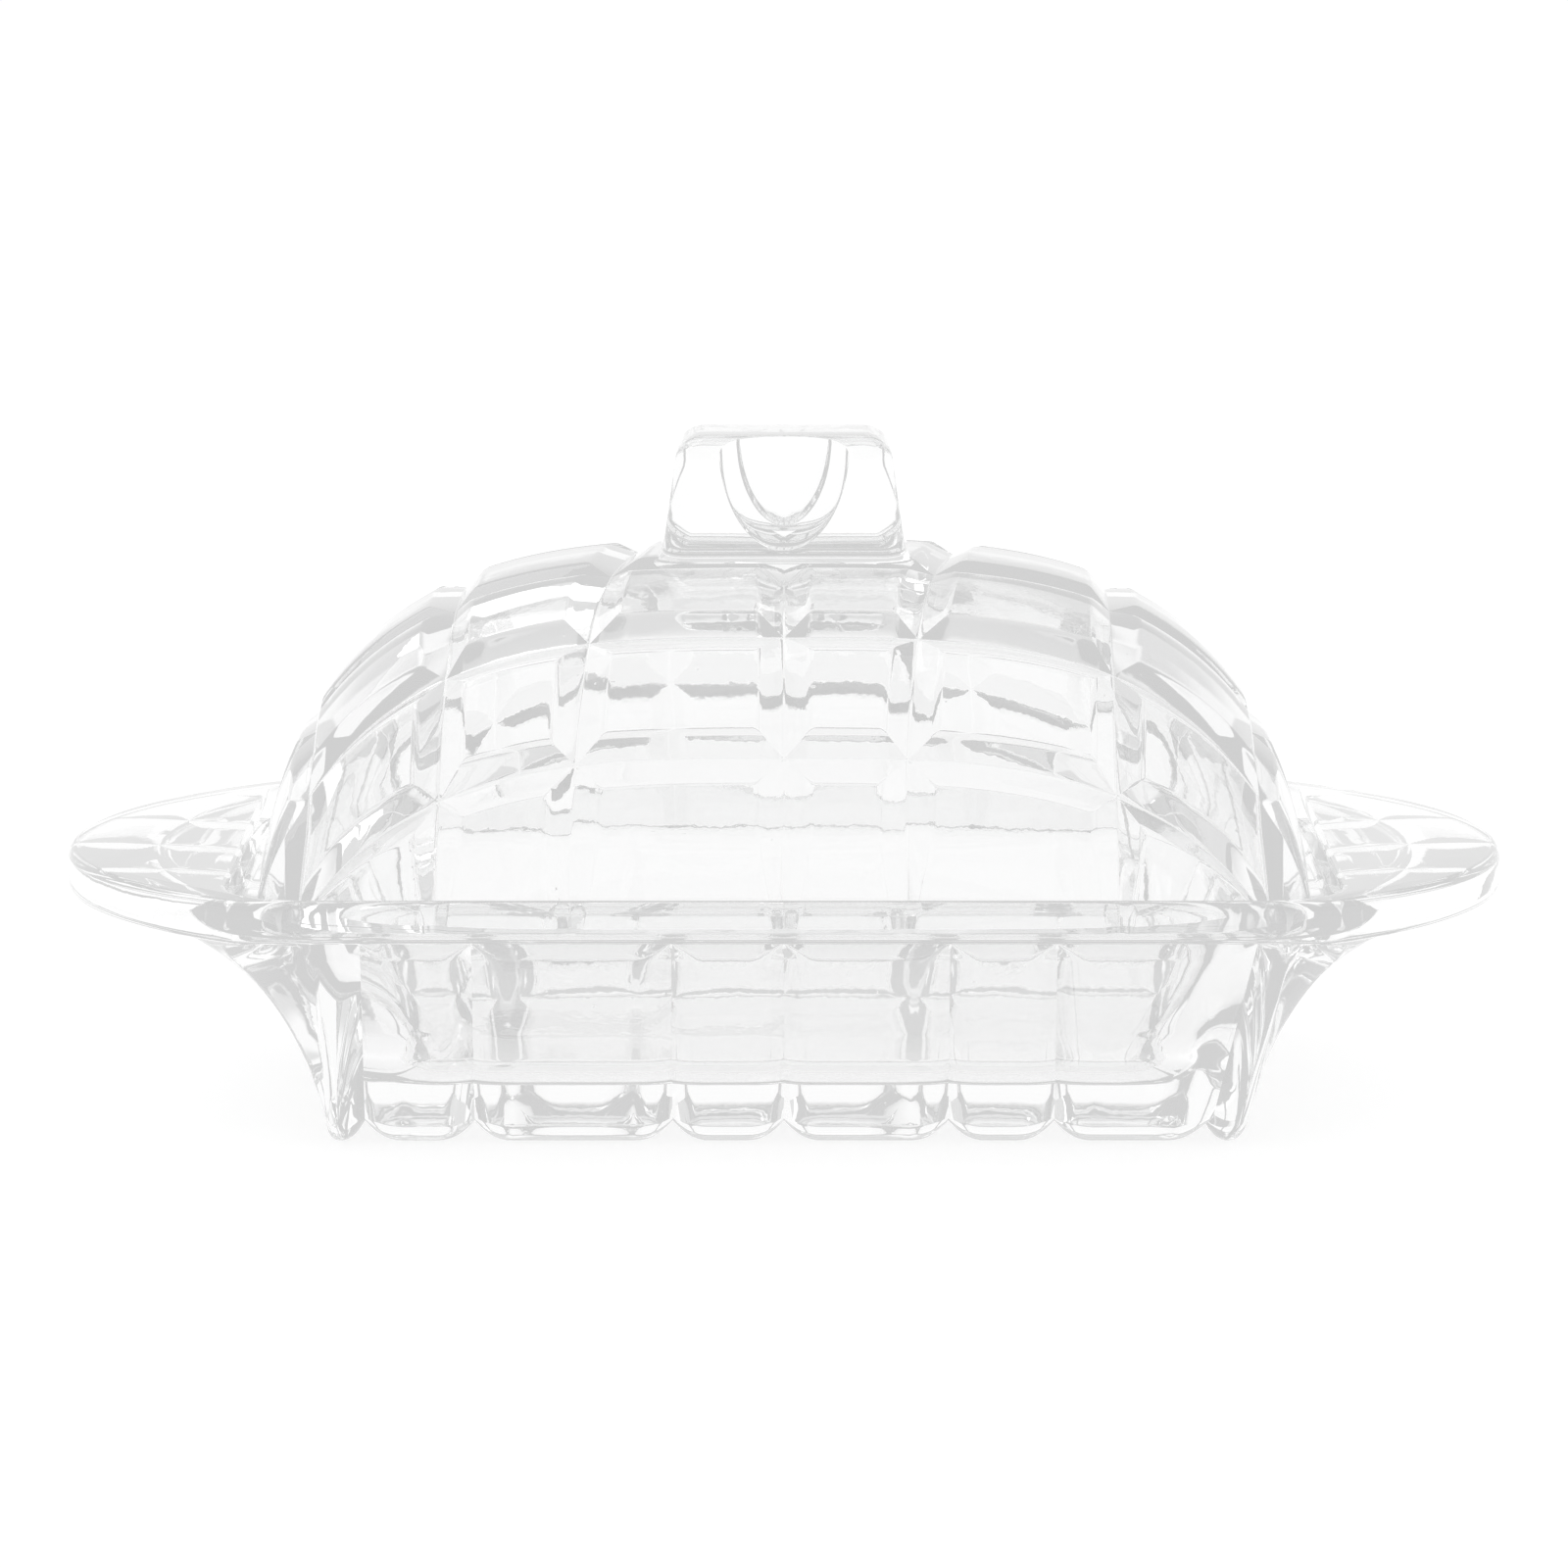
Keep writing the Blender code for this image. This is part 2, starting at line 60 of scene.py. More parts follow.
lamp_place, lamp_size, lamp_power = (-0.7, 0.5, 1.1), 0.9, 2.5
bpy.ops.object.light_add(type="AREA", location=lamp_place)
lamp = bpy.context.object
lamp.rotation_euler = (-lamp.location).to_track_quat("-Z", "Y").to_euler()
lamp.data.size = lamp_size
lamp.data.energy = lamp_power

sky = ((0.0, 1.0), (0.26, 1.0), (0.44, 0.78), (0.72, 0.78), (0.88, 1.0))
sky_strength = 1.02
world = bpy.data.worlds.new("white_room")
bpy.context.scene.world = world
world.use_nodes = True
room = world.node_tree
direction = room.nodes.new("ShaderNodeTexCoord")
split = room.nodes.new("ShaderNodeSeparateXYZ")
ramp = room.nodes.new("ShaderNodeValToRGB")
room.links.new(direction.outputs["Generated"], split.inputs[0])
room.links.new(split.outputs["Z"], ramp.inputs["Fac"])
room.links.new(ramp.outputs["Color"], room.nodes["Background"].inputs["Color"])
ramp.color_ramp.interpolation = "EASE"
for count, (place, grey) in enumerate(sky):
    stop = ramp.color_ramp.elements[count] if count < 2 else ramp.color_ramp.elements.new(place)
    stop.position, stop.color = place, (grey, grey, grey, 1)
room.nodes["Background"].inputs["Strength"].default_value = sky_strength

sweep_radius, sweep_drop = 3.0, 0.0002
sweep_grey, sweep_glow, sweep_roughness = 0.20, 0.84, 0.9
bpy.ops.mesh.primitive_circle_add(vertices=96, radius=sweep_radius, fill_type="NGON",
                                  location=(0, 0, -sweep_drop))
bpy.ops.object.transform_apply(location=True)
floor = bpy.context.object
floor.name = "floor"
paint = bpy.data.materials.new("white_sweep")
paint.use_nodes = True
white = paint.node_tree.nodes["Principled BSDF"]
white.inputs["Base Color"].default_value = (sweep_grey, sweep_grey, sweep_grey, 1)
white.inputs["Roughness"].default_value = sweep_roughness
white.inputs["Emission Color"].default_value = (1, 1, 1, 1)
white.inputs["Emission Strength"].default_value = sweep_glow
floor.data.materials.append(paint)


# Tray: one pressing of clear soda glass. The mould's blocks stand out as cushions with sharp valleys between
# them. The rim band and the two ears are plain, and the fire polish has rounded every edge.
class Socket:
    """A node's output that takes part in sums, so that a mask is written as one expression."""

    def __init__(self, output):
        self.output = output

    def math(self, operation, other):
        return NodesOf(self.output.id_data).make("ShaderNodeMath", {0: self, 1: other}, operation=operation)

    def __add__(self, other):
        return self.math("ADD", other)

    def __mul__(self, other):
        return self.math("MULTIPLY", other)

    __radd__, __rmul__ = __add__, __mul__


class NodesOf:
    """Makes nodes in one tree from their settings, and from the values or links of their sockets."""

    def __init__(self, tree):
        self.tree = tree

    def make(self, kind, sockets, output=0, **settings):
        node = self.tree.nodes.new(kind)
        for name, value in settings.items():
            if name == "stops":
                for stop, (place, grey) in zip(node.color_ramp.elements, value):
                    stop.position, stop.color = place, (grey, grey, grey, 1)
            else:
                setattr(node, name, value)
        for name, value in sockets.items():
            if isinstance(value, Socket):
                self.tree.links.new(value.output, node.inputs[name])
            else:
                node.inputs[name].default_value = value
        return Socket(node.outputs[output])


# The grey, 0.64, is the glow the glass gives on trapped paths: painted light standing in for the light they
# would bring.
refraction, painted_glow_grey = 1.51, 0.64
wave_scale, peel_scale, seed_scale, smear_scale = 95.0, 420.0, 210.0, 30.0
wave_share, peel_share, seed_share = 1.0, 0.16, 0.25
polish_strength, most_smear = 0.5, 0.05
last_turn, last_pass = 2.5, 10.5


def clear_glass(name, tint, wave_height, seed_size):
    """Soda glass: slow waves from the mould, a fine orange-peel from the fire polish, and a few seeds.

    Where light has been turned round inside more often than the last turn or pass, the glass glows a flat
    grey: painted light in place of what those paths would bring.
    """
    material = bpy.data.materials.new(name)
    material.use_nodes = True
    tree = material.node_tree
    make = NodesOf(tree).make
    shader = tree.nodes["Principled BSDF"]
    shader.inputs["Transmission Weight"].default_value = 1.0
    shader.inputs["IOR"].default_value = refraction
    shader.inputs["Base Color"].default_value = (*tint, 1.0)
    place = make("ShaderNodeTexCoord", {}, output="Object")
    waves = make("ShaderNodeTexNoise",
                 {"Vector": place, "Scale": wave_scale, "Detail": 1.0, "Roughness": 0.35})
    peel = make("ShaderNodeTexNoise", {"Vector": place, "Scale": peel_scale, "Detail": 2.0, "Roughness": 0.5})
    spots = make("ShaderNodeTexVoronoi", {"Vector": place, "Scale": seed_scale, "Randomness": 1.0},
                 output="Distance")
    seeds = make("ShaderNodeValToRGB", {"Fac": spots}, stops=((0.0, 1.0), (seed_size, 0.0)))
    relief = waves * wave_share + peel * peel_share + seeds * seed_share
    bump = make("ShaderNodeBump", {"Strength": polish_strength, "Distance": wave_height, "Height": relief})
    tree.links.new(bump.output, shader.inputs["Normal"])
    cloud = make("ShaderNodeTexNoise",
                 {"Vector": place, "Scale": smear_scale, "Detail": 3.0, "Roughness": 0.6})
    smear = make("ShaderNodeMapRange",
                 {"Value": cloud, "From Min": 0.4, "From Max": 0.75, "To Max": most_smear})
    tree.links.new(smear.output, shader.inputs["Roughness"])
    turns = make("ShaderNodeLightPath", {}, output="Glossy Depth")
    passes = make("ShaderNodeLightPath", {}, output="Ray Depth")
    many_turns = make("ShaderNodeMath", {0: turns, 1: last_turn}, operation="GREATER_THAN")
    many_passes = make("ShaderNodeMath", {0: passes, 1: last_pass}, operation="GREATER_THAN")
    trapped = make("ShaderNodeMath", {0: many_turns, 1: many_passes}, operation="MAXIMUM")
    # Painted light: an emission of flat grey that the glass shows on trapped paths instead of their real
    # light.
    glow = make("ShaderNodeEmission", {"Color": (painted_glow_grey, painted_glow_grey, painted_glow_grey, 1.0), "Strength": 1.0})
    surface = make("ShaderNodeMixShader", {0: trapped, 1: Socket(shader.outputs[0]), 2: glow})
    tree.links.new(surface.output, tree.nodes["Material Output"].inputs["Surface"])
    return material


same_place = 1e-6


def mix(a, b, share):
    return a + (b - a) * share


def cushion(way):
    """Depth of a groove between two cushions at this share of its half width: a sharp valley, round edges."""
    sharpness = 2.4
    return max(0.0, 1 - way) ** sharpness


def take(piece):
    """Selects this piece alone, for the operators."""
    bpy.ops.object.select_all(action="DESELECT")
    piece.select_set(True)
    bpy.context.view_layer.objects.active = piece


def lines_across(valleys, widths, start, stop, step, section):
    """Lines across a face as (place, share of the groove's depth), close together in the grooves."""
    ways, shape = section
    marks = [(np.array(start, float), 0.0)]
    for valley, (before, after) in zip(valleys, widths):
        valley = np.array(valley, float)
        marks += [(valley - before * way, shape(way)) for way in reversed(ways) if way]
        marks += [(valley + after * way, shape(way)) for way in ways]
    marks.append((np.array(stop, float), 0.0))
    lines = []
    for (here, amount), (there, next_amount) in zip(marks, marks[1:]):
        gap = np.abs(there - here).max()
        if gap < same_place:
            continue
        count = math.ceil(gap / step)
        lines += [(mix(here, there, k / count), mix(amount, next_amount, k / count)) for k in range(count)]
    lines.append(marks[-1])
    return lines


def pressed_sheet(name, columns, rows, place, depth):
    """A grid whose points are set by line and line, then sunk along its normal, split at its creases."""
    bpy.ops.object.select_all(action="DESELECT")
    wide, deep = len(columns), len(rows)
    bpy.ops.mesh.primitive_grid_add(x_subdivisions=wide - 1, y_subdivisions=deep - 1, size=2)
    sheet = bpy.context.object
    sheet.name = name
    mesh = sheet.data
    at = [(round((v.co.x + 1) / 2 * (wide - 1)), round((v.co.y + 1) / 2 * (deep - 1))) for v in mesh.vertices]
    for vertex, (i, j) in zip(mesh.vertices, at):
        vertex.co = place(columns[i], rows[j])
    mesh.update()
    normals = [vertex.normal.copy() for vertex in mesh.vertices]
    sunk = [depth(columns[i], rows[j], vertex.co) for vertex, (i, j) in zip(mesh.vertices, at)]
    for vertex, normal, amount in zip(mesh.vertices, normals, sunk):
        vertex.co = vertex.co - normal * amount
    bm = bmesh.new()
    bm.from_mesh(mesh)
    for face in list(bm.faces):
        a, b, c, d = face.verts
        first = sunk[a.index] + sunk[c.index] <= sunk[b.index] + sunk[d.index]
        bmesh.utils.face_split(face, *((a, c) if first else (b, d)))
    bm.to_mesh(mesh)
    bm.free()
    return sheet


def drawn_up(name, levels, steps):
    """A solid raised from a rounded rectangle: each level is its half sizes, corner radius and height."""
    bpy.ops.object.select_all(action="DESELECT")
    bpy.ops.mesh.primitive_circle_add(vertices=4 * steps, radius=1, fill_type="NGON")
    solid = bpy.context.object
    solid.name = name
    bpy.ops.object.mode_set(mode="EDIT")
    for _ in levels[1:]:
        bpy.ops.mesh.select_all(action="DESELECT")
        bm = bmesh.from_edit_mesh(solid.data)
        bm.faces.ensure_lookup_table()
        top = max(bm.faces, key=lambda f: f.calc_center_median().z)
        top.select_set(True)
        bmesh.update_edit_mesh(solid.data)
        bpy.ops.mesh.extrude_region_move(TRANSFORM_OT_translate={"value": (0, 0, 1)})
    bpy.ops.object.mode_set(mode="OBJECT")
    for vertex in solid.data.vertices:
        half_x, half_y, radius, z = levels[round(vertex.co.z)]
        turn = math.atan2(vertex.co.y, vertex.co.x)
        quarter = math.floor(turn / (math.pi / 2) + same_place)
        share = turn / (math.pi / 2) - quarter
        edge = math.pi / 2 * (quarter + share * steps / (steps - 1))
        mid = math.pi / 2 * (quarter + 0.5)
        x = math.copysign(half_x - radius, math.cos(mid)) + radius * math.cos(edge)
        y = math.copysign(half_y - radius, math.sin(mid)) + radius * math.sin(edge)
        vertex.co = (x, y, z)
    bpy.ops.object.mode_set(mode="EDIT")
    bpy.ops.mesh.select_all(action="SELECT")
    bpy.ops.mesh.normals_make_consistent(inside=False)
    bpy.ops.object.mode_set(mode="OBJECT")
    return solid


def cut_with(piece, cutter, operation):
    """Joins or cuts with a Boolean, which is applied, and the other solid is taken away."""
    take(piece)
    modifier = piece.modifiers.new("cut", "BOOLEAN")
    modifier.operation, modifier.solver, modifier.object = operation, "EXACT", cutter
    bpy.ops.object.modifier_apply(modifier=modifier.name)
    bpy.data.objects.remove(cutter, do_unlink=True)


def turn_outwards(piece):
    take(piece)
    bpy.ops.object.mode_set(mode="EDIT")
    bpy.ops.mesh.select_all(action="SELECT")
    bpy.ops.mesh.normals_make_consistent(inside=False)
    bpy.ops.object.mode_set(mode="OBJECT")


def fire_polish(piece, finish, sharpest=32):
    """Shades the glass smooth but for its sharpest edges, and gives it its finish."""
    take(piece)
    bpy.ops.object.shade_smooth_by_angle(angle=math.radians(sharpest))
    piece.data.materials.clear()
    piece.data.materials.append(finish)


tray_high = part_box("tray")[1]
lid_low, lid_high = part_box("lid")
seat, rim_top = lid_low.z, tray_high.z
seat_gap, end_clearance, side_clearance = 0.0003, 0.0028, 0.0012
ledge = seat - seat_gap
recess = Vector((lid_high.x + end_clearance, lid_high.y + side_clearance))
band_height, band_proud = 0.0059, 0.0010
band_foot = rim_top - band_height
wall_top = tray_high.y - band_proud
end_slope, side_slope = 0.0135, 0.0070
foot = Vector((recess.x - end_slope, wall_top - side_slope))
wall_lean = math.atan2(side_slope, band_foot)
edge_radius, end_radius = 0.0037, 0.0016
flat = Vector((foot.x - end_radius, foot.y - edge_radius * math.tan((math.pi / 2 - wall_lean) / 2)))
corner_set_in, corner_lean = 0.0034, 0.0066
corner_groove = flat.x - corner_set_in
arc_share, ear_lift = 0.20, 0.25
ear_curve, shoulder_set_in, shoulder_radius = 0.0700, 0.0025, 0.0080
halvings = 60


class EarEdge:
    """The tray's outline, set in from the band: a straight side, a round shoulder and an elliptic ear."""

    def __init__(self, set_in):
        self.centre = tray_high.x - ear_curve
        self.half_x = ear_curve - set_in
        lean = (recess.x - shoulder_set_in - self.centre) / ear_curve
        self.half_y = tray_high.y / math.sqrt(1 - lean**2) - set_in
        self.side = tray_high.y - set_in
        self.radius = shoulder_radius - set_in
        low_turn, high_turn = 0.0, math.pi / 2
        for _ in range(halvings):
            turn = (low_turn + high_turn) / 2
            if self.arc_centre(turn)[1] < self.side - self.radius:
                low_turn = turn
            else:
                high_turn = turn
        self.arc_x, self.arc_y = self.arc_centre(turn)
        edge_x, edge_y = self.ellipse(turn)
        self.arc_turn = math.atan2(edge_y - self.arc_y, edge_x - self.arc_x)

    def ellipse(self, turn):
        return self.centre + self.half_x * math.cos(turn), self.half_y * math.sin(turn)

    def arc_centre(self, turn):
        x, y = self.ellipse(turn)
        out = Vector((math.cos(turn) / self.half_x, math.sin(turn) / self.half_y)).normalized()
        return x - self.radius * out.x, y - self.radius * out.y

    def reach(self, y):
        return self.centre + self.half_x * math.sqrt(1 - (y / self.half_y) ** 2)

    def on_arc(self, turn):
        return self.arc_x + self.radius * math.cos(turn), self.arc_y + self.radius * math.sin(turn)

    def from_side(self, start, share):
        straight = self.arc_x - start
        half_arc = self.radius * (math.pi / 2 - self.arc_turn) / 2
        way = share * (straight + half_arc)
        if way <= straight:
            return start + way, self.side
        return self.on_arc(math.pi / 2 - (way - straight) / self.radius)

    def from_ear(self, start, share):
        end_y = self.on_arc(self.arc_turn)[1]
        half_arc = self.radius * (math.pi / 2 - self.arc_turn) / 2
        way = share * (end_y - start + half_arc)
        if way <= end_y - start:
            return self.reach(start + way), start + way
        return self.on_arc(self.arc_turn + (way - (end_y - start)) / self.radius)


def side_wall(rise):
    """(y, z) up a long wall: a rounded foot edge, then a straight wall that leans out."""
    turn = (math.pi / 2 - wall_lean) * min(1.0, rise / arc_share)
    share = max(0.0, (rise - arc_share) / (1 - arc_share))
    return (mix(flat.y + edge_radius * math.sin(turn), wall_top, share),
            mix(edge_radius * (1 - math.cos(turn)), band_foot, share))


def end_wall(rise, reach):
    """(x, z) out along the underside of an ear: a small foot edge, then a flare that ends level."""
    if rise < arc_share:
        turn = math.pi / 2 * rise / arc_share
        return flat.x + end_radius * math.sin(turn), end_radius * (1 - math.cos(turn))
    turn = math.pi / 2 * (rise - arc_share) / (1 - arc_share)
    out = ear_lift * math.sin(turn) + (1 - ear_lift) * (1 - math.cos(turn))
    return mix(foot.x, reach, out), mix(end_radius, band_foot, math.sin(turn))


class Line:
    """A line of the pressed underside. It crosses the flat foot, or lies up a wall on one side."""

    def __init__(self, places, side=0, rise=0.0, foot_share=0.0, top_share=0.0):
        self.places, self.side, self.rise = places, side, rise
        self.foot_share, self.top_share = foot_share, top_share


ear_groove, ear_groove_half = 0.80, 0.07
round_top, top_rises = 0.10, (0.925, 0.95, 0.97, 0.985, 1.0)


def up_the_walls(crossing, rises, groove):
    """Adds the lines up both walls: a cross groove where there is one, and a round top under the band."""
    half, places = ear_groove_half, {rise: 0.0 for rise in rises}
    if groove:
        places = {rise: 0.0 for rise in rises if abs(rise - groove) > half}
        places.update({groove + side * half * way: cushion(way) for way in cushion_ways for side in (-1, 1)})
    top = {rise: ((rise - (1 - round_top)) / round_top) ** 2 for rise in top_rises}
    marks = [(rise, places.get(rise, 0.0), top.get(rise, 0.0)) for rise in sorted({*places, *top})]
    before = [Line(None, -1, *mark) for mark in reversed(marks)]
    return before + crossing + [Line(None, 1, *mark) for mark in marks]


cushion_ways = (0.0, 0.03, 0.08, 0.15, 0.25, 0.37, 0.50, 0.65, 0.82, 1.0)
cushion_half = 0.0052
column_step, row_step = 0.0025, 0.003
wall_shares = (-1.0, -0.738, -0.266, 0.0, 0.392, 0.645, 1.0)
fronts = [(share * corner_groove + (corner_lean if share == 1 else 0.0), share * corner_groove)
          for share in wall_shares]
backs = [(-at_foot, -at_rim) for at_rim, at_foot in reversed(fronts)]
valleys = [front + back for front, back in zip(fronts, backs)]
widths = [(cushion_half, cushion_half)] * len(valleys)
widths[0], widths[-1] = (flat.x - corner_groove, cushion_half), (cushion_half, flat.x - corner_groove)
columns = [Line(places, foot_share=amount) for places, amount in lines_across(
    valleys, widths, np.array(valleys[0]) - widths[0][0], np.array(valleys[-1]) + widths[-1][1],
    column_step, (cushion_ways, cushion))]
foot_shares = (-0.49, 0.0, 0.49)
long_valleys = [share * flat.y for share in foot_shares]
rows = [Line(float(place), foot_share=amount) for place, amount in lines_across(
    long_valleys, [(cushion_half, cushion_half)] * len(long_valleys), -flat.y, flat.y,
    row_step, (cushion_ways, cushion))]
ear_rise_step, wall_rise_step = 0.04, 0.08
foot_arc = [arc_share * k / 7 for k in range(1, 8)]
columns = up_the_walls(columns, foot_arc + [arc_share + ear_rise_step * k for k in range(1, 18)], ear_groove)
rows = up_the_walls(rows, foot_arc + [arc_share + wall_rise_step * k for k in range(1, 9)], None)
outline = EarEdge(band_proud)


def tray_corner(column, row):
    """Smooth patch between the ear's flare, the long wall and the rim's round shoulder."""
    a, b = column.rise, row.rise
    rim_x = flat.x + (corner_lean if column.side * row.side < 0 else 0.0)
    reach = outline.reach(flat.y)
    flare_x, flare_z = end_wall(a, reach)
    wall_y, wall_z = side_wall(b)
    flare = Vector((flare_x, flat.y, flare_z))
    wall = Vector((mix(flat.x, rim_x, b), wall_y, wall_z))
    side_rim = Vector((*outline.from_side(rim_x, a), band_foot))
    ear_rim = Vector((*outline.from_ear(flat.y, b), band_foot))
    foot_start = Vector((flat.x, flat.y, 0.0))
    ear_start = Vector((reach, flat.y, band_foot))
    side_start = Vector((rim_x, wall_top, band_foot))
    shoulder = Vector((*outline.from_side(rim_x, 1.0), band_foot))
    point = mix(flare, side_rim, b) + mix(wall, ear_rim, a)
    point -= mix(mix(foot_start, ear_start, a), mix(side_start, shoulder, a), b)
    return column.side * point.x, row.side * point.y, point.z


def tray_place(column, row):
    if column.side and row.side:
        return tray_corner(column, row)
    if column.side:
        x, z = end_wall(column.rise, outline.reach(row.places))
        return column.side * x, row.places, z
    front_rim, front_foot, back_foot, back_rim = column.places
    if row.side:
        at_foot, at_rim = (front_foot, front_rim) if row.side < 0 else (back_foot, back_rim)
        y, z = side_wall(row.rise)
        return float(mix(at_foot, at_rim, row.rise)), row.side * y, z
    return float(mix(front_foot, back_foot, (row.places / flat.y + 1) / 2)), row.places, 0.0


foot_depth, wall_depth, band_depth = 0.0031, 0.0022, 0.0008
long_depth, ear_depth = 0.0014, 0.0008
side_tuck, end_tuck, tuck_fade = 0.0008, 0.0002, 2.5
shoulder_start, shoulder_length = 0.70, 0.2


def tray_depth(column, row, where):
    """How deep the glass is sunk here: in the grooves, under the band, and nowhere at the shoulders."""
    wall = mix(foot_depth, wall_depth, row.rise / arc_share)
    if row.rise > arc_share:
        wall = mix(wall_depth, band_depth, (row.rise - arc_share) / (1 - arc_share))
    ear = mix(long_depth, ear_depth, column.rise)
    across = column.foot_share * (ear if column.side else wall)
    along = row.foot_share * ear
    fade = min(1.0, (1 - max(column.rise, row.rise)) / round_top)
    under_band = max(row.top_share * side_tuck * max(0.0, 1 - tuck_fade * column.rise),
                     column.top_share * end_tuck * max(0.0, 1 - tuck_fade * row.rise))
    near_shoulder = min(1.0, max(0.0, (min(column.rise, row.rise) - shoulder_start) / shoulder_length))
    across *= 1 if row.side else fade
    return max(across, along * fade, under_band) * (1 - near_shoulder)


tray = pressed_sheet("tray_glass", columns, rows[::-1], tray_place, tray_depth)
turn_outwards(tray)
bm = bmesh.new()
bm.from_mesh(tray.data)
bm.verts.ensure_lookup_table()
wide, deep = len(columns), len(rows)
order = [(i, 0) for i in range(wide)] + [(wide - 1, j) for j in range(1, deep)]
order += [(i, deep - 1) for i in range(wide - 2, -1, -1)] + [(0, j) for j in range(deep - 2, 0, -1)]
order.reverse()
edge_line = [Vector(tray_place(columns[i], rows[::-1][j])).to_2d() for i, j in order]
outward = []
for before, after in zip(edge_line[-1:] + edge_line[:-1], edge_line[1:] + edge_line[:1]):
    along = (after - before).normalized()
    outward.append(Vector((along.y, -along.x)))
ring = [bm.verts[j * wide + i] for i, j in order]
for vertex in ring:
    vertex.co.z = band_foot
# The band's section, as (share of how far it stands out, share of its height).
band_steps = [(0.0, 0.02), (0.45, 0.03), (0.75, 0.05)]
band_steps += [(1 - 0.25 * (1 - math.sin(t)), 0.05 + 0.25 * (1 - math.cos(t))) for t in (0.5, 1.0, 1.5)]
band_steps += [(1.0, 0.5), (0.97, 0.66)]
band_steps += [(0.97 - 1.3 * (1 - math.cos(t)), 0.66 + 0.34 * math.sin(t))
               for t in (0.35, 0.7, 1.05, 1.3, 1.57)]
for out, height in band_steps:
    z = band_foot + (rim_top - band_foot) * min(1.0, height)
    upper = [bm.verts.new((*(spot + way * band_proud * out), z)) for spot, way in zip(edge_line, outward)]
    for k in range(len(order)):
        bm.faces.new((ring[k - 1], ring[k], upper[k], upper[k - 1]))
    ring = upper
bm.faces.new(ring)
bm.to_mesh(tray.data)
bm.free()
turn_outwards(tray)
end_ledge, side_ledge, recess_radius = 0.0090, 0.0037, 0.012
tray_wall, floor_thickness, floor_radius = 0.0050, 0.008, 0.005
ledge_edge, ledge_fillet, rim_edge = 0.0008, 0.0010, 0.0009
past_edge, past_rim = 0.0010, 0.005
mouth = recess - Vector((end_ledge, side_ledge))
cavity = foot - Vector((tray_wall, tray_wall))
hollow = []
for k in range(9):
    turn = math.pi / 2 * k / 8
    set_in = floor_radius * (1 - math.sin(turn))
    hollow.append((cavity.x - set_in, cavity.y - set_in, recess_radius - set_in,
                   floor_thickness + floor_radius * (1 - math.cos(turn))))
hollow += [(*mix(cavity, mouth, k / 6), recess_radius,
            mix(floor_thickness + floor_radius, ledge - ledge_edge, k / 6)) for k in range(1, 7)]
for turn in (0.5, 1.0, 1.57):
    out = ledge_edge * (1 - math.cos(turn))
    hollow.append((mouth.x + out, mouth.y + out, recess_radius, ledge - ledge_edge * (1 - math.sin(turn))))
for turn in (0.0, 0.5, 1.0, 1.57):
    set_in = ledge_fillet * (1 - math.sin(turn))
    hollow.append((recess.x - set_in, recess.y - set_in, recess_radius,
                   ledge + ledge_fillet * (1 - math.cos(turn))))
hollow.append((*recess, recess_radius, rim_top - rim_edge))
for turn in (0.4, 0.8, 1.2, 1.55):
    out = rim_edge * (1 - math.cos(turn))
    hollow.append((recess.x + out, recess.y + out, recess_radius, rim_top - rim_edge * (1 - math.sin(turn))))
hollow.append((recess.x + past_edge, recess.y + past_edge, recess_radius, rim_top + past_rim))
corner_steps = 16
cut_with(tray, drawn_up("tray_hollow", hollow, corner_steps), "DIFFERENCE")
tray_tint, tray_waves, tray_seeds = (0.962, 0.963, 0.963), 0.00010, 0.05
fire_polish(tray, clear_glass("clear_soda_glass", tray_tint, tray_waves, tray_seeds))
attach(tray, "tray")
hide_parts("tray")


# Lid: a second pressing, a dome with square shoulders and a block of solid glass for its knob. Its blocks
# have flat-sided V grooves between them that meet in mitres. Two thumb scoops are ground into the knob.
def facet(way):
    """Depth of a V groove at this share of its half width, with a slightly round valley and edges."""
    valley, edge = 0.05, 0.18
    if way < valley:
        return 1 - (way**2 + valley**2) / (2 * valley)
    if way < 1 - edge:
        return 1 - way
    return max(0.0, 1 + edge - way) ** 2 / (4 * edge)


facet_ways = (0.0, 0.025, 0.05, 0.17, 0.30, 0.43, 0.56, 0.69, 0.81, 0.88, 0.95, 1.02, 1.09, 1.18)
dome_height, dome_tuck, lid_wall = 0.0460, 0.0010, 0.0040
end_power, side_power = 3.3, 3.0
curve_points = 800
groove_half, groove_depth = 0.0035, 0.0018
rim_fade_height, rim_fade_share = 0.012, 0.45
outer_step, inner_step = 0.0022, 0.0030
crown = seat + dome_height


class DomeCurve:
    """The dome's curve over one axis, from crown to widest line, read by the way along the glass."""

    def __init__(self, half, power, height):
        turn = np.linspace(0, math.pi / 2, curve_points)
        self.out = half * np.sin(turn) ** (2 / power)
        steps = np.hypot(np.diff(self.out), np.diff(height * np.cos(turn)))
        self.way = np.concatenate([[0], np.cumsum(steps)])

    def way_at(self, out):
        return np.sign(out) * np.interp(np.abs(out), self.out, self.way)

    def out_at(self, way):
        return np.sign(way) * np.interp(np.abs(way), self.way, self.out)


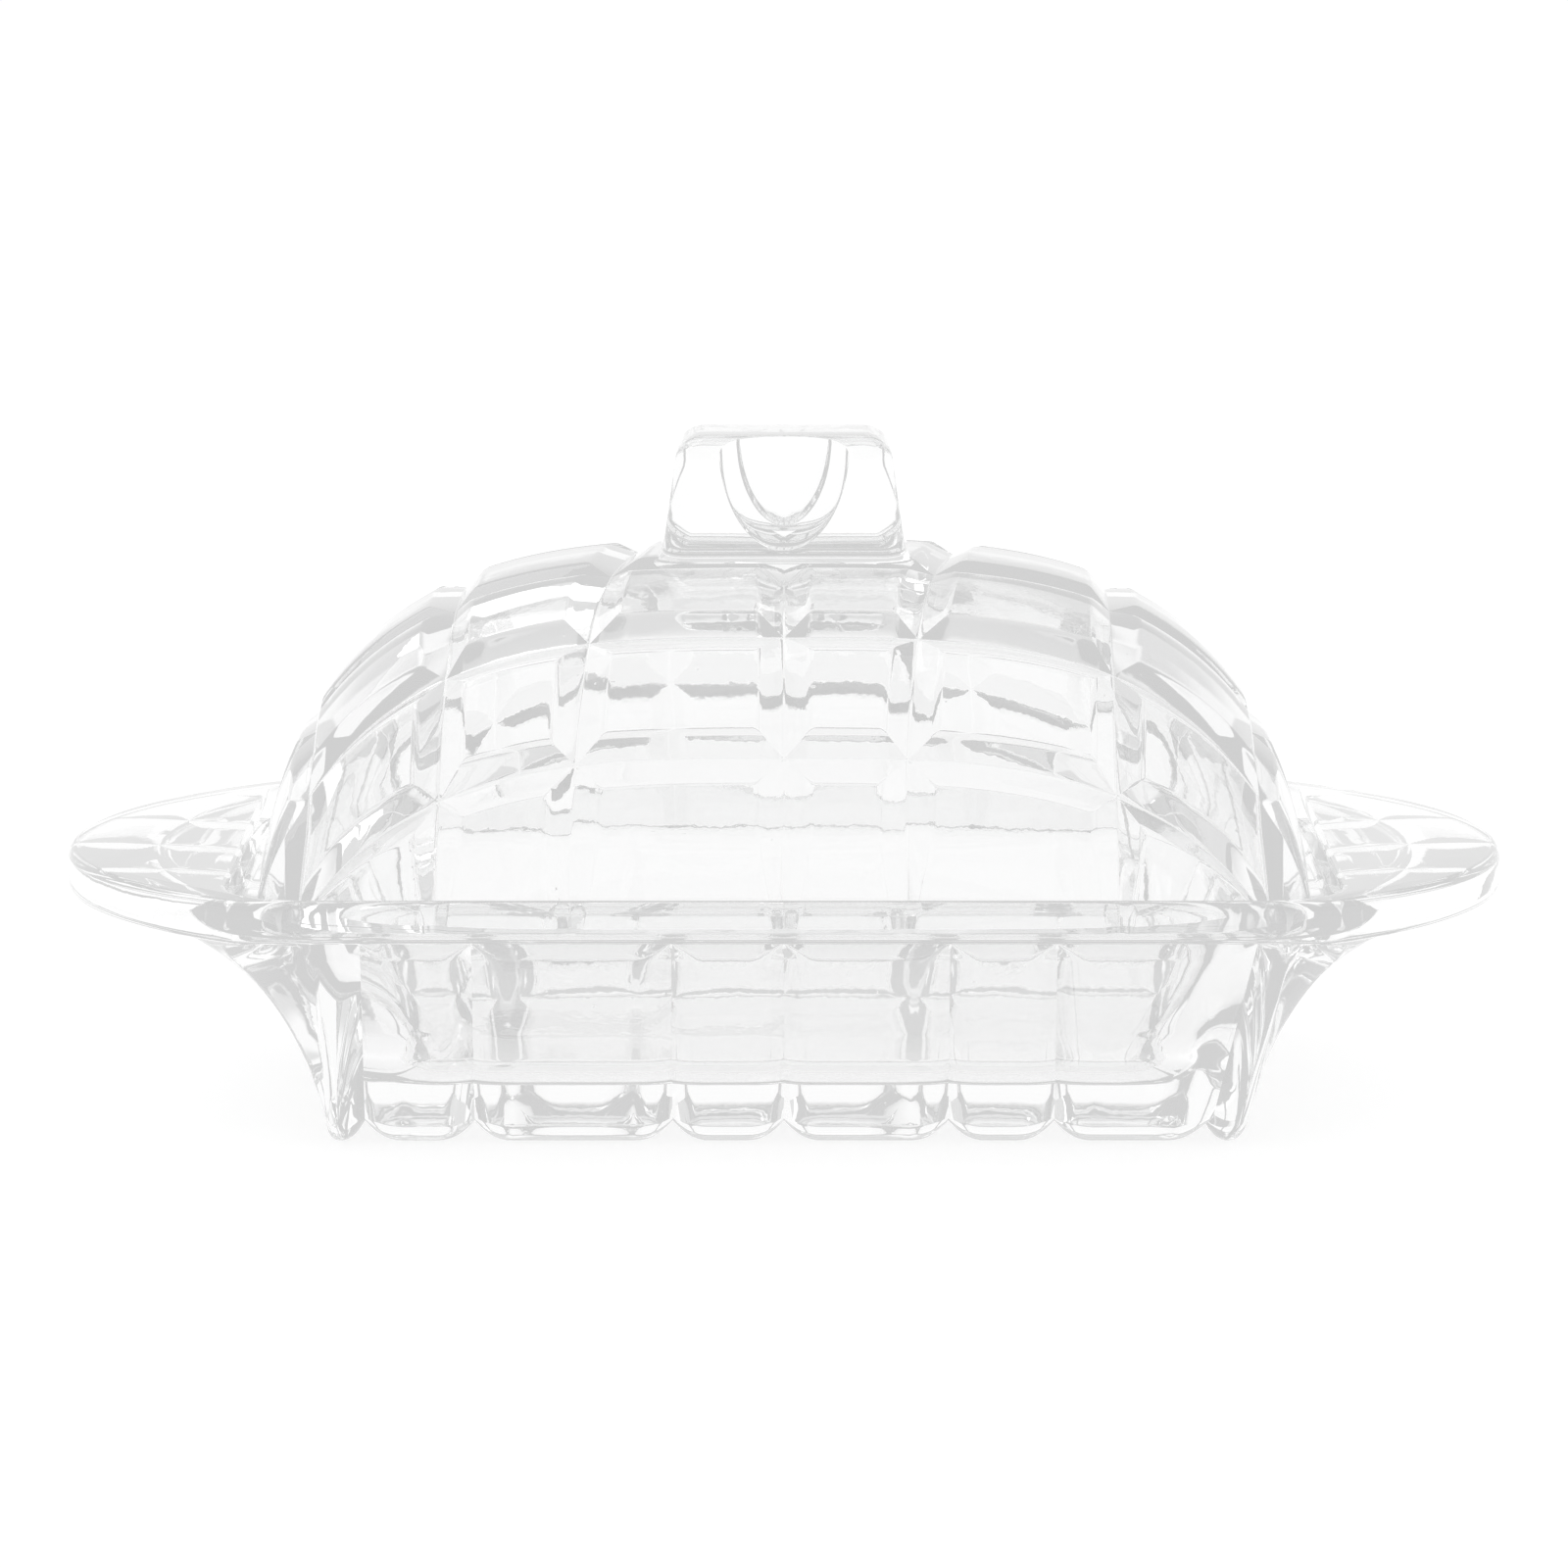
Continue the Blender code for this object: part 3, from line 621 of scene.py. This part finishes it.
def dome(name, half_x, half_y, top, foot_level, cross, long, step):
    """One face of the dome, cut off level at its rim and closed there."""
    rise = top - foot_level + dome_tuck
    along, across = DomeCurve(half_x, end_power, rise), DomeCurve(half_y, side_power, rise)
    half = (groove_half, groove_half)
    ends = np.full(2, along.way[-1])
    lid_columns = lines_across([along.way_at(half_x * np.array(pair)) for pair in cross], [half] * len(cross),
                               -ends, ends, step, (facet_ways, facet))
    lid_rows = lines_across([across.way_at(half_y * share) for share in long], [half] * len(long),
                            -across.way[-1], across.way[-1], step, (facet_ways, facet))

    def place(column, row):
        y = float(across.out_at(row[0]))
        front, back = along.out_at(column[0])
        x = float(mix(front, back, (y / half_y + 1) / 2))
        lift = math.sqrt(max(0.0, 1 - (abs(x) / half_x) ** end_power)) - 1
        lift += math.sqrt(max(0.0, 1 - (abs(y) / half_y) ** side_power))
        return x, y, foot_level - dome_tuck + rise * lift

    def depth(column, row, where):
        share = min(1.0, max(0.0, (where.z - foot_level) / rim_fade_height))
        lost = 1 - mix(rim_fade_share, 1.0, share)
        return groove_depth * max(0.0, max(column[1], row[1]) - lost)

    shell = pressed_sheet(name, lid_columns, lid_rows, place, depth)
    bpy.ops.object.mode_set(mode="EDIT")
    bpy.ops.mesh.select_all(action="SELECT")
    bpy.ops.mesh.bisect(plane_co=(0, 0, foot_level), plane_no=(0, 0, 1), clear_inner=True, use_fill=True)
    bpy.ops.object.mode_set(mode="OBJECT")
    turn_outwards(shell)
    return shell


cross_shares = ((-0.911, -0.911), (-0.645, -0.619), (-0.396, -0.222), (0.0, 0.0),
                (0.222, 0.396), (0.619, 0.645), (0.911, 0.911))
long_shares = (-0.900, -0.655, -0.258, 0.258, 0.655, 0.900)
lid = dome("lid_glass", lid_high.x, lid_high.y, crown, seat, cross_shares, long_shares, outer_step)
knob_top = lid_high.z
knob_half, knob_top_half = (0.01665, 0.0114), (0.0151, 0.0106)
corner_radius, top_corner_radius, knob_rounding = 0.0035, 0.0044, 0.0040
knob_root, root_spread, root_start, root_rise = 0.004, 0.0018, 0.0008, 0.0020
knob = [(0.0180, 0.0126, 0.0050, crown - knob_root)]
for k in range(7):
    turn = math.pi / 2 * k / 6
    spread = root_spread * (1 - math.sin(turn))
    knob.append((knob_half[0] + spread, knob_half[1] + spread, corner_radius + spread,
                 crown - root_start + root_rise * (1 - math.cos(turn))))
flank_rise = 0.0012
flank_start, flank_end = crown + flank_rise, knob_top - knob_rounding
knob += [(mix(knob_half[0], knob_top_half[0], k / 5), mix(knob_half[1], knob_top_half[1], k / 5),
          mix(corner_radius, top_corner_radius, k / 5), mix(flank_start, flank_end, k / 5))
         for k in range(1, 6)]
for k in range(1, 9):
    turn = math.pi / 2 * k / 8
    set_in = knob_rounding * (1 - math.cos(turn))
    knob.append((knob_top_half[0] - set_in, knob_top_half[1] - set_in, top_corner_radius - set_in,
                 knob_top - knob_rounding * (1 - math.sin(turn))))
knob_steps = 12
cut_with(lid, drawn_up("knob", knob, knob_steps), "UNION")
cut_with(lid, dome("lid_hollow", lid_high.x - lid_wall, lid_high.y - lid_wall, crown - lid_wall,
                   seat - lid_wall, (), (), inner_step), "DIFFERENCE")
scoop_size, scoop_drop = (0.0090, 0.0030, 0.0146), 0.001
for side in (-1, 1):
    bpy.ops.mesh.primitive_uv_sphere_add(segments=64, ring_count=40, radius=1)
    scoop = bpy.context.object
    scoop.scale = scoop_size
    scoop.location = (0, side * knob_top_half[1], knob_top - scoop_drop)
    bpy.ops.object.transform_apply(location=True, scale=True)
    cut_with(lid, scoop, "DIFFERENCE")
lid_tint, lid_waves, lid_seeds = (0.947, 0.948, 0.948), 0.00012, 0.05
fire_polish(lid, clear_glass("clear_lid_glass", lid_tint, lid_waves, lid_seeds))
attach(lid, "lid")
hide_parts("lid")
